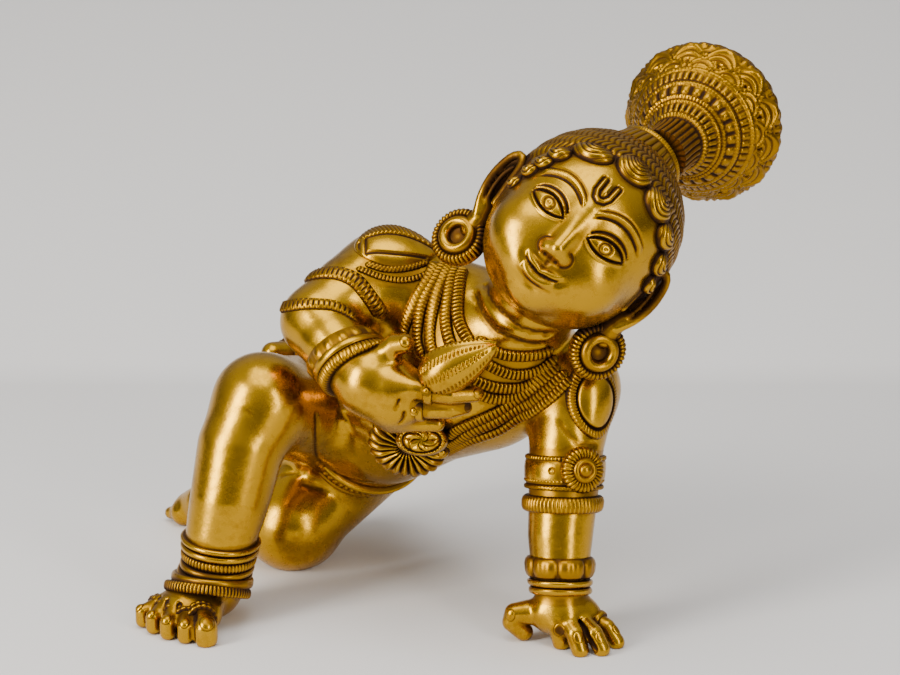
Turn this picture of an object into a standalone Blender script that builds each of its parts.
"""A solid cast brass figure of a crawling child with ornaments and a tall topknot.

The child kneels on the left knee, sets the right foot and the left hand down, and
holds a ridged bud in the raised right hand. Everything is one casting. The pose and
the carving are written in parts of the figure's own height, on a scale where the
figure is about 155 high, and FIGURE_HEIGHT sets the real size of that scale.
"""

import math

import bmesh
import bpy
from mathutils import Matrix, Vector
from mathutils.bvhtree import BVHTree

FIGURE_HEIGHT = 0.155
HEIGHT_IN_PARTS = 155
SCALE = FIGURE_HEIGHT / HEIGHT_IN_PARTS
FLESH_VOXEL = 0.75 * SCALE
CAST_VOXEL = 0.6 * SCALE
TRIANGLES = 9700
RING_SIDES = 32
SMOOTHING_PASSES = 5

BRASS_COLOUR = (0.55, 0.36, 0.08, 1.0)
BRASS_ROUGHNESS = 0.32
UP = Vector((0, 0, 1))

# The head's own axes: its middle, its up direction and the way the face looks.
HEAD_CENTRE = Vector((34.6, -28.0, 111.9))
HEAD_UP = Vector((0.64, 0.20, 0.744))
FACE_WAY = Vector((-0.09, -0.962, 0.258))
SKULL_RADIUS = 24.6
HAIR_RADIUS = 25.5
HAIR_SHIFT = Vector((0, 3.0, 4.0))
LOCK_COUNT = 15

# Centre and radii of the skull's ball and the jaw's, in the head's axes.
HEAD_BALLS = (
    ((0, 0, 1.2), (24.2, SKULL_RADIUS, SKULL_RADIUS)),
    ((0, -4.5, -9), (20.8, 19, 18.6)),
)

# Radius and height of each tier of the topknot, up from its neck.
BUN_TIERS = ((8.6, 6.5), (12.0, 10.0), (15.6, 14.0), (19.0, 18.8), (22.4, 25.0))


def start_clean():
    """Removes what the file opened with."""
    for obj in list(bpy.data.objects):
        bpy.data.objects.remove(obj)


def brass():
    """The one material of the casting."""
    material = bpy.data.materials.new("cast_brass")
    material.use_nodes = True
    shader = material.node_tree.nodes["Principled BSDF"]
    shader.inputs["Base Color"].default_value = BRASS_COLOUR
    shader.inputs["Metallic"].default_value = 1.0
    shader.inputs["Roughness"].default_value = BRASS_ROUGHNESS
    return material


def facing(centre, way, up=UP):
    """The placement whose own z looks along way, at a point of the figure's scale."""
    z = Vector(way).normalized()
    across = Vector(up).cross(z)
    x = (across if across.length > 1e-3 else Vector((1, 0, 0)).cross(z)).normalized()
    turn = Matrix((x, z.cross(x), z)).transposed().to_4x4()
    return Matrix.Translation(Vector(centre) * SCALE) @ turn @ Matrix.Scale(SCALE, 4)


def head_place():
    """The placement of the head: x to the child's left, y to the back, z up."""
    up = HEAD_UP.normalized()
    back = -(FACE_WAY - FACE_WAY.dot(up) * up).normalized()
    turn = Matrix((back.cross(up), back, up)).transposed().to_4x4()
    return Matrix.Translation(HEAD_CENTRE * SCALE) @ turn @ Matrix.Scale(SCALE, 4)


def in_head(x, y, z):
    """A point of the head, in the figure's scale."""
    return head_place() @ Vector((x, y, z)) / SCALE


WORLD = Matrix.Scale(SCALE, 4)


def ellipsoid(bm, centre, radii, place=None, segments=24):
    """Adds a closed ellipsoid whose centre and radii are in the placement's axes."""
    shape = Matrix.Translation(Vector(centre)) @ Matrix.Diagonal((*radii, 1.0))
    matrix = (place or WORLD) @ shape
    bmesh.ops.create_uvsphere(
        bm, u_segments=segments, v_segments=segments // 2, radius=1.0, matrix=matrix
    )


def limb(bm, stations, place=None, segments=24):
    """Adds balls at the stations (x, y, z, radius) and a cone from each to the next."""
    for x, y, z, radius in stations:
        ellipsoid(bm, (x, y, z), (radius,) * 3, place, segments)
    for first, second in zip(stations, stations[1:]):
        a, b = Vector(first[:3]), Vector(second[:3])
        if (b - a).length < 1e-6:
            continue
        turn = (b - a).to_track_quat("Z", "Y").to_matrix().to_4x4()
        bmesh.ops.create_cone(
            bm,
            cap_ends=True,
            segments=segments,
            radius1=first[3],
            radius2=second[3],
            depth=(b - a).length,
            matrix=(place or WORLD) @ Matrix.Translation((a + b) / 2) @ turn,
        )


def turned(bm, profile, place, segments=20, closed=True):
    """Adds a turned shape from (radius, height) points: a ring if closed, or a solid
    whose ends are flat caps."""
    loops = []
    for radius, height in profile:
        angles = (2 * math.pi * i / segments for i in range(segments))
        points = (Vector((radius * math.cos(a), radius * math.sin(a), height)) for a in angles)
        loops.append([bm.verts.new(place @ point) for point in points])
    pairs = list(zip(loops, loops[1:]))
    if closed:
        pairs.append((loops[-1], loops[0]))
    else:
        bm.faces.new(reversed(loops[0]))
        bm.faces.new(loops[-1])
    for low, high in pairs:
        for i in range(segments):
            j = (i + 1) % segments
            bm.faces.new((low[i], low[j], high[j], high[i]))


def ring_profile(radius, half_width, depth):
    """A rounded band's section: its crest at radius, sunk by depth at its edges."""
    return [
        (radius - depth, -half_width),
        (radius, -0.55 * half_width),
        (radius, 0.55 * half_width),
        (radius - depth, half_width),
    ]


def tube(bm, points, radius, sides=6, ends=1.0):
    """Adds a closed tube along points of the figure's scale, tapered to its ends."""
    points = [Vector(p) for p in points]
    loops = []
    side_way = None
    for i, point in enumerate(points):
        along = (points[min(i + 1, len(points) - 1)] - points[max(i - 1, 0)]).normalized()
        if side_way is None:
            side_way = along.orthogonal()
        side_way = (side_way - side_way.dot(along) * along).normalized()
        other = along.cross(side_way)
        share = ends if i in (0, len(points) - 1) else 1.0
        ring = []
        for k in range(sides):
            angle = 2 * math.pi * k / sides
            offset = math.cos(angle) * side_way + math.sin(angle) * other
            ring.append(bm.verts.new((point + radius * share * offset) * SCALE))
        loops.append(ring)
    for low, high in zip(loops, loops[1:]):
        for k in range(sides):
            m = (k + 1) % sides
            bm.faces.new((low[k], low[m], high[m], high[k]))
    bm.faces.new(reversed(loops[0]))
    bm.faces.new(loops[-1])


def smooth_path(points, steps):
    """A Catmull-Rom path through the points, with steps pieces to each stretch."""
    points = [Vector(p) for p in points]
    path = []
    for i in range(len(points) - 1):
        before, a = points[max(i - 1, 0)], points[i]
        b, after = points[i + 1], points[min(i + 2, len(points) - 1)]
        for k in range(steps):
            t = k / steps
            path.append(
                0.5
                * (
                    2 * a
                    + (b - before) * t
                    + (2 * before - 5 * a + 4 * b - after) * t**2
                    + (3 * a - before - 3 * b + after) * t**3
                )
            )
    return path + [points[-1]]


def object_from(name, bm, collection=None):
    """Turns a bmesh into an object with its faces facing out."""
    bmesh.ops.recalc_face_normals(bm, faces=bm.faces)
    mesh = bpy.data.meshes.new(name)
    bm.to_mesh(mesh)
    bm.free()
    obj = bpy.data.objects.new(name, mesh)
    (collection or bpy.context.scene.collection).objects.link(obj)
    return obj


def torso(bm):
    limb(bm, [(-31, 39, 35, 18.5), (-17.8, 18, 47.5, 20), (-5.5, 8, 59, 22)])
    limb(bm, [(-5.5, 8, 59, 22), (7.8, -4, 68.5, 24.3)])
    limb(bm, [(-17.2, 2, 90, 14), (8, -5, 80, 15), (33.2, -16, 65, 12.5)])
    limb(bm, [(-38, 37, 47, 16), (-28, 45, 38, 16)])
    limb(bm, [(9, -10, 74, 15), (17, -16, 81, 12.5), (26, -23, 95, 12)])


def right_leg(bm):
    limb(bm, [(-31.6, 32, 42.7, 17), (-41.8, 12, 50.7, 15.3), (-52, -8, 58.7, 12.9)])
    limb(
        bm,
        [
            (-52, -8, 58.7, 12.9),
            (-57.6, -14, 47.5, 12),
            (-60.6, -18, 33.8, 11),
            (-63, -20, 24.3, 9.8),
            (-64.3, -20, 15, 8.6),
            (-66.5, -17, 8, 8),
        ],
    )
    limb(bm, [(-66.5, -17, 8, 8), (-70.5, -24, 6.5, 7.5), (-73, -28.5, 4.5, 5.5)])
    limb(bm, [(-67.5, -30, 4.5, 5), (-73, -30, 4.8, 5), (-79, -26, 4.3, 4.3)])
    toes = (
        ((-66, -40.8), 3.3),
        ((-71.7, -39.4), 2.3),
        ((-76.6, -36.6), 2.3),
        ((-81, -32.6), 2.1),
        ((-84.4, -27.8), 2.0),
    )
    root = Vector((-72, -20))
    for (x, y), radius in toes:
        knuckle = root.lerp(Vector((x, y)), 0.62)
        limb(bm, [(*knuckle, 5.6, radius), (x, y, 4.6, radius), (x, y, 2.0, radius)], segments=12)


def left_leg(bm):
    limb(bm, [(-24, 46, 31, 16.5), (-35.5, 36, 22.3, 15.8), (-46, 23.5, 12.6, 13.1)])
    limb(bm, [(-46, 23.5, 12.6, 13.1), (-58, 39, 9.5, 10.8), (-70, 52, 7, 7.2)])
    limb(bm, [(-70, 52, 7, 7.2), (-74.5, 55.5, 8, 6.2), (-79, 61, 4.6, 5.4)])
    limb(bm, [(-81.5, 59, 3.8, 3.8), (-77, 64.5, 3.8, 3.8)])
    for i in range(5):
        x, y = -83.5 + 1.9 * i, 60.5 + 1.9 * i
        limb(bm, [(x, y, 3.4, 2.2), (x - 2.2, y + 2.0, 2.6, 1.9)], segments=10)
    limb(bm, [(-40, 29, 7.6, 9), (-38, 35, 7.6, 9), (-50, 35, 7.6, 9)])


def right_arm(bm):
    limb(bm, [(-17.2, 2, 90, 14), (-26.5, -5, 88, 12), (-35.8, -13, 83, 9.9)])
    limb(bm, [(-35.8, -13, 83, 9.9), (-31.5, -20, 79, 9.3), (-27, -26, 75.5, 8.4)])
    limb(bm, [(-27, -26, 75.5, 8.4), (-21, -30, 71, 10.3), (-15.5, -32, 68, 9.5)])


def right_fingers(bm):
    limb(bm, [(-15, -36, 71, 5), (-9, -39.5, 71.5, 2.9), (0, -41, 70.5, 2.7), (6.5, -39, 70, 2.2)],
         segments=12)
    limb(bm, [(-15, -34, 66, 5), (-8, -37, 65.5, 2.8), (0, -38.5, 65.5, 2.4), (4, -37, 65.7, 1.9)],
         segments=12)
    limb(bm, [(-15, -31, 62, 5), (-9, -33, 60.5, 2.6), (-3.5, -33, 60, 2.2)], segments=12)
    limb(bm, [(-18, -32, 78, 4), (-14.5, -34, 82, 3.1), (-12, -36, 83, 2.6)], segments=12)


def left_arm(bm):
    limb(
        bm,
        [
            (33.2, -16, 65, 12.5),
            (31.6, -25, 52, 10.2),
            (30.5, -31, 38, 9.3),
            (29.8, -34, 29, 8.8),
            (29.7, -37, 20.5, 7.8),
            (29.8, -37.5, 14, 6.3),
            (30.5, -37, 9, 6.5),
        ],
    )
    limb(bm, [(30.5, -37, 9, 6.5), (36, -33, 4.6, 5.6), (32, -31.5, 5, 5.6)])
    limb(bm, [(26.5, -39, 8.5, 5), (31, -41, 7.8, 5), (36.5, -38.5, 7, 4.6)])


def left_fingers(bm):
    limb(bm, [(25, -38, 8.5, 4), (17.5, -38, 8, 2.8), (16.8, -38, 5.5, 2.7), (20, -37, 2.3, 2.6)],
         segments=12)
    limb(bm, [(27.2, -41, 8.8, 3), (28.8, -43.5, 6.5, 2.5), (30, -43, 1.5, 2.4)], segments=12)
    limb(bm, [(31.2, -42.5, 7.8, 3), (33.4, -47, 5.6, 2.5), (34.8, -48.5, 1.5, 2.4)], segments=12)
    limb(bm, [(35, -41.5, 7, 3), (38.6, -46.5, 5.4, 2.4), (40.6, -48, 1.5, 2.3)], segments=12)
    limb(bm, [(37.5, -38, 6.5, 3), (42.4, -41, 5.2, 2.2), (44.9, -42.6, 1.4, 2.2)], segments=12)


def head(bm):
    place = head_place()
    for centre, radii in HEAD_BALLS:
        ellipsoid(bm, centre, radii, place, 32)
    ellipsoid(bm, HAIR_SHIFT, (24.8, HAIR_RADIUS, HAIR_RADIUS), place, 32)
    limb(bm, [(0, -23.5, -2, 1.8), (0, -25.5, -10, 2.9)], place, 12)
    for side in (-1, 1):
        ellipsoid(bm, (side * 2.5, -23.8, -10.8), (1.9, 1.8, 1.7), place, 12)
        ellipsoid(bm, (side * 8.5, -16.5, -10.5), (8, 6.6, 7.5), place, 20)
    ellipsoid(bm, (0, -15.8, -22), (6, 4.2, 4), place, 16)


def on_face(x, z, proud):
    """The point of the smooth head's front at (x, z), moved forward by proud."""
    depth = 0.0
    for centre, radii in HEAD_BALLS:
        rest = 1 - ((x - centre[0]) / radii[0]) ** 2 - ((z - centre[2]) / radii[2]) ** 2
        depth = max(depth, radii[1] * math.sqrt(max(rest, 0)) - centre[1])
    return Vector((x, -depth - proud, z))


def face_parts(bm):
    """Eyes, brows, lips and forehead mark, raised from the smooth head."""
    place = head_place()
    for side in (-1, 1):
        eye = place @ Matrix.Translation(on_face(side * 9.2, -1.6, -0.4))
        ellipsoid(bm, (0, 0, 0), (4.4, 1.9, 2.1), eye @ Matrix.Rotation(side * -0.38, 4, "Z"), 12)
        brow = [on_face(side * x, 4.2 + 2.2 * math.sin(0.32 * (x - 2.2)), 0.2)
                for x in (2.6, 5.5, 8.5, 11.5, 14.2)]
        tube(bm, [in_head(*p) for p in brow], 0.8, 6, 0.5)
    for height, width, bulge in ((-16.6, 4.2, 1.3), (-19.0, 3.2, 1.4)):
        lip = [on_face(x, height + 0.05 * abs(x), 0.4) for x in (-width, 0, width)]
        tube(bm, [in_head(*p) for p in lip], bulge, 6, 0.35)
    mark = [on_face(x, z, 0.2) for x, z in ((-2.1, 12.5), (-1.9, 8.5), (0, 6.2), (1.9, 8.5), (2.1, 12.5))]
    tube(bm, [in_head(*p) for p in mark], 0.7, 6)


def ears(bm):
    """An open rim for each ear, and the round earring under it."""
    place = head_place()
    for side in (-1, 1):
        rim = [(22.3, -3, -6), (24.3, -4, 0), (26, -2.5, 4), (26.8, 1.5, 4), (26.3, 4, -1),
               (25, 2, -8), (23.8, -1, -12)]
        tube(bm, smooth_path([in_head(side * x, y, z) for x, y, z in rim], 2), 1.9, 6, 0.7)
        ellipsoid(bm, (side * 24.5, 1, -3), (2.6, 4, 8), place, 12)
        limb(bm, [(side * 23.5, 0, -11, 2.6), (side * 23.8, 1, -16.5, 2.2)], place, 8)
        way = place.to_3x3() @ Vector((side * 0.45, -0.89, 0)) / SCALE
        disc = facing(in_head(side * 23.8, 1.5, -21.8), way)
        turned(bm, [(5.2, -3), (7, -2), (7.3, 0.3), (6.2, 1.7), (5.0, 1.3), (4.4, 2.2), (3.3, 2.2),
                    (2.4, 0.2)], disc, RING_SIDES, closed=False)


def locks(bm):
    """Rounded locks along the hairline, where the hair's ball leaves the skull's."""
    place = head_place()
    skull = Vector(HEAD_BALLS[0][0])
    shift = HAIR_SHIFT - skull
    way = shift.normalized()
    off = (shift.length_squared + SKULL_RADIUS**2 - HAIR_RADIUS**2) / (2 * shift.length)
    middle = skull + off * way
    radius = math.sqrt(SKULL_RADIUS**2 - off**2)
    front = Vector((0, -way.z, way.y))
    for i in range(LOCK_COUNT):
        angle = math.radians(-84 + 168 * i / (LOCK_COUNT - 1))
        point = middle + radius * (math.cos(angle) * front + math.sin(angle) * Vector((1, 0, 0)))
        ellipsoid(bm, point, (2.6, 2.6, 2.6), place, 10)


def topknot(bm):
    """A tall bun: a narrow neck that opens into a wide ribbed cap with a domed end."""
    way = Vector((0.42, 0.90, 0.11))
    base = Vector((60.1, -3, 129.2))
    limb(bm, [(49, -13, 124, 9), (*base, 5.6)], None, 16)
    profile = [(5.2, -4), (5.6, 3)]
    for radius, height in BUN_TIERS:
        profile += [(radius - 1.6, height - 0.9), (radius, height), (radius - 0.5, height + 1.6)]
    profile += [(20.6, 29.5), (16.5, 32), (9.5, 34.3), (3.0, 35.2)]
    turned(bm, profile, facing(base, way), 40, closed=False)


def anklets(bm):
    axis = (-0.17, 0.02, -0.985)
    for height, radius, half in ((22.3, 10.9, 1.2), (19.7, 11, 1.5), (16.8, 10.7, 1.5),
                                 (14.2, 10, 1.2)):
        centre = (-64.2 + 0.14 * (height - 15), -20, height)
        turned(bm, ring_profile(radius, half, 2.6), facing(centre, axis), RING_SIDES)
    turned(bm, ring_profile(10.9, 1.7, 3.4), facing((-65.7, -20.5, 11.6), (-0.1, -0.2, -1)), RING_SIDES)
    turned(bm, ring_profile(11.9, 1.7, 4.4), facing((-67, -22, 9), (-0.12, -0.36, -1)), RING_SIDES)


def left_arm_rings(bm):
    way = Vector((0.02, 0.25, 1))
    turned(bm, ring_profile(10.9, 4.6, 2.4), facing((31.0, -28.3, 45.2), way), RING_SIDES)
    turned(bm, ring_profile(10.9, 2.6, 2.6), facing((30.4, -31.2, 37.2), way), RING_SIDES)
    turned(bm, ring_profile(9.5, 3.0, 2.6), facing((29.7, -36.9, 20.7), way), RING_SIDES)
    turned(bm, ring_profile(7.9, 1.8, 2.2), facing((29.7, -37.4, 15.4), way), RING_SIDES)
    rosette = facing((35.2, -38.2, 48.5), (0.42, -0.88, 0.22))
    turned(bm, [(3, -3), (5.6, -1.5), (5.9, 0), (4.9, 1.1), (2.6, 0.5), (2, 1.5), (0.6, 1.7)],
           rosette, 24, closed=False)


def right_arm_rings(bm):
    fore = Vector((0.44, -0.68, -0.42))
    turned(bm, ring_profile(10.4, 2.1, 2.6), facing((-32.4, -18.6, 79.8), fore), RING_SIDES)
    turned(bm, ring_profile(9.9, 1.7, 2.6), facing((-29.3, -22.8, 77.0), fore), RING_SIDES)
    upper = Vector((-0.74, -0.55, -0.3))
    turned(bm, ring_profile(11.8, 1.4, 2.2), facing((-31.0, -9, 85.8), upper), RING_SIDES)


def shoulder_pads(bm):
    leaf = facing((-17.5, -2.5, 99.5), (-0.12, -0.42, 0.9), (0.9, -0.2, 0.4))
    ellipsoid(bm, (0, 0, 0), (7.5, 12.5, 6), leaf, 24)
    drop = facing((41.0, -20.5, 63.5), (0.72, -0.66, 0.1))
    ellipsoid(bm, (0, 0, 0), (7.2, 10.5, 5.5), drop, 24)
    ellipsoid(bm, (0, 1.0, 2.2), (4.6, 7.2, 5.2), drop, 20)


def hip_sash(bm):
    limb(bm, [(-30, 46, 57, 4), (-42, 34, 61.5, 4), (-51, 25, 63.5, 3.4)], None, 10)


def bud(bm):
    """The ridged bud between thumb and fingers, pointed at its far end."""
    start, end = Vector((-6, -38.5, 73.5)), Vector((11.5, -42, 83.8))
    profile = [(1.5, -0.4), (4.3, 1.2), (5.9, 4.6), (6.2, 8.2), (5.4, 12.4), (3.7, 16.6), (1.2, 20.2)]
    turned(bm, profile, facing(start, end - start), 24, closed=False)


def pendant(bm):
    """A fan of petals with a boss, hung under the raised hand."""
    centre = Vector((-11.5, -15.5, 48.7))
    way = Vector((-0.12, -0.93, -0.34))
    place = facing(centre, way)
    petals = 12
    for i in range(petals):
        turn = place @ Matrix.Rotation(2 * math.pi * i / petals, 4, "Z")
        ellipsoid(bm, (6.4, 0, 0.8), (3.5, 2.0, 2.8), turn, 12)
    turned(bm, [(4, -5), (7.5, -2.4), (7, 1.6), (4.6, 2.6), (3.8, 4.0), (1, 4.8)], place, 24,
           closed=False)


def strands(bm, surface):
    """Necklace strands laid on the chest, from their chosen points to its surface."""
    routes = (
        ((-4, -7.5, 98.5), (-6, -12.5, 94.5), (-10, -14.5, 87.5), (-11.5, -14, 80), (-10.5, -18, 76)),
        ((0, -7, 97.5), (-2, -11.5, 95), (-4, -16, 88), (-5, -21, 80), (-2.5, -25, 73)),
        ((4, -7, 96.5), (2.5, -12.5, 94), (2.5, -19.5, 86.5), (4, -22.5, 83), (6.5, -25.5, 79.5)),
        ((7.5, -24.5, 81.5), (12.5, -27.5, 78.5), (18, -28, 77.5), (24, -27, 78), (28, -25.5, 79)),
        ((4.5, -27.5, 72.5), (8.5, -28, 70), (14.5, -27, 68.5), (21, -25, 69.5), (28.5, -24.5, 75)),
        ((29.5, -25, 74), (24, -26, 69.5), (17.5, -25.5, 64.5), (4.5, -25, 57.5), (-1, -19.5, 52.5)),
        ((32.5, -27, 71), (25.5, -27.5, 64), (15, -23.5, 56.5), (5.5, -21, 52), (-1.5, -11, 45)),
    )
    for route in routes:
        laid = []
        for point in smooth_path(route, 4):
            spot, normal = surface.find_nearest(point * SCALE)[:2]
            laid.append(spot / SCALE + 0.5 * normal)
        inner = zip(laid, laid[1:], laid[2:])
        laid = [laid[0], *((a + 2 * b + c) / 4 for a, b, c in inner), laid[-1]]
        tube(bm, laid, 1.25, 8, 0.8)


def belt(bm):
    """A cord round the hips and its folds."""
    way = Vector((0.50, -0.70, 0.50))
    for shift, radius in ((0, 21.6), (3.2, 21.8)):
        centre = Vector((-26.6, 32.0, 38.4)) + shift * way
        turned(bm, ring_profile(radius, 1.3, 2.6), facing(centre, way), 40)


def flesh_object():
    """The body, limbs and head as one smooth skin."""
    bm = bmesh.new()
    for build in (torso, right_leg, left_leg, right_arm, right_fingers, left_arm, left_fingers, head):
        build(bm)
    body = object_from("body", bm)
    fuse(body, FLESH_VOXEL)
    smooth = body.modifiers.new("soften", "SMOOTH")
    smooth.factor = 0.5
    smooth.iterations = SMOOTHING_PASSES
    return body


def fuse(obj, voxel):
    """Makes one skin of all the closed shapes in the object."""
    remesh = obj.modifiers.new("fuse", "REMESH")
    remesh.mode = "VOXEL"
    remesh.voxel_size = voxel


def evaluated_mesh(obj, name):
    """A mesh with the object's modifiers applied."""
    graph = bpy.context.evaluated_depsgraph_get()
    graph.update()
    mesh = bpy.data.meshes.new_from_object(obj.evaluated_get(graph))
    mesh.name = name
    return mesh


def simplify(obj, triangles):
    """Adds a Decimate that leaves about this many triangles."""
    graph = bpy.context.evaluated_depsgraph_get()
    mesh = obj.evaluated_get(graph).to_mesh()
    mesh.calc_loop_triangles()
    count = len(mesh.loop_triangles)
    obj.evaluated_get(graph).to_mesh_clear()
    decimate = obj.modifiers.new("simplify", "DECIMATE")
    decimate.ratio = triangles / count


def cut_at_ground(obj):
    """Cuts the object flat at z = 0 with a slab below it."""
    bm = bmesh.new()
    side, depth = 3 * FIGURE_HEIGHT, FIGURE_HEIGHT
    slab = Matrix.Translation((0, 0, -depth / 2)) @ Matrix.Diagonal((side, side, depth, 1))
    bmesh.ops.create_cube(bm, size=1.0, matrix=slab)
    ground = object_from("ground_cutter", bm)
    ground.hide_render = True
    ground.display_type = "WIRE"
    cut = obj.modifiers.new("ground", "BOOLEAN")
    cut.operation = "DIFFERENCE"
    cut.solver = "EXACT"
    cut.object = ground


def add_ornaments(bm, surface):
    """Adds every ornament, as closed shapes sunk into the skin."""
    for add in (face_parts, ears, locks, topknot, anklets, left_arm_rings, right_arm_rings,
                shoulder_pads, hip_sash, bud, pendant, belt):
        add(bm)
    strands(bm, surface)
    bmesh.ops.recalc_face_normals(bm, faces=bm.faces)


def main():
    start_clean()
    body = flesh_object()
    skin = evaluated_mesh(body, "skin")
    surface = BVHTree.FromPolygons(
        [v.co for v in skin.vertices], [tuple(p.vertices) for p in skin.polygons]
    )
    bm = bmesh.new()
    bm.from_mesh(skin)
    add_ornaments(bm, surface)
    casting = object_from("casting", bm)
    fuse(casting, CAST_VOXEL)
    simplify(casting, TRIANGLES)
    cut_at_ground(casting)
    whole = evaluated_mesh(casting, "idol")
    for obj in list(bpy.data.objects):
        bpy.data.objects.remove(obj)
    corners = [v.co for v in whole.vertices]
    middle = [(min(c[i] for c in corners) + max(c[i] for c in corners)) / 2 for i in (0, 1)]
    whole.transform(Matrix.Translation((-middle[0], -middle[1], 0)))
    whole.shade_smooth()
    whole.set_sharp_from_angle(angle=math.radians(40))
    whole.materials.clear()
    whole.materials.append(brass())
    idol = bpy.data.objects.new("idol", whole)
    bpy.context.scene.collection.objects.link(idol)
    return middle


if __name__ == "__main__":
    main()
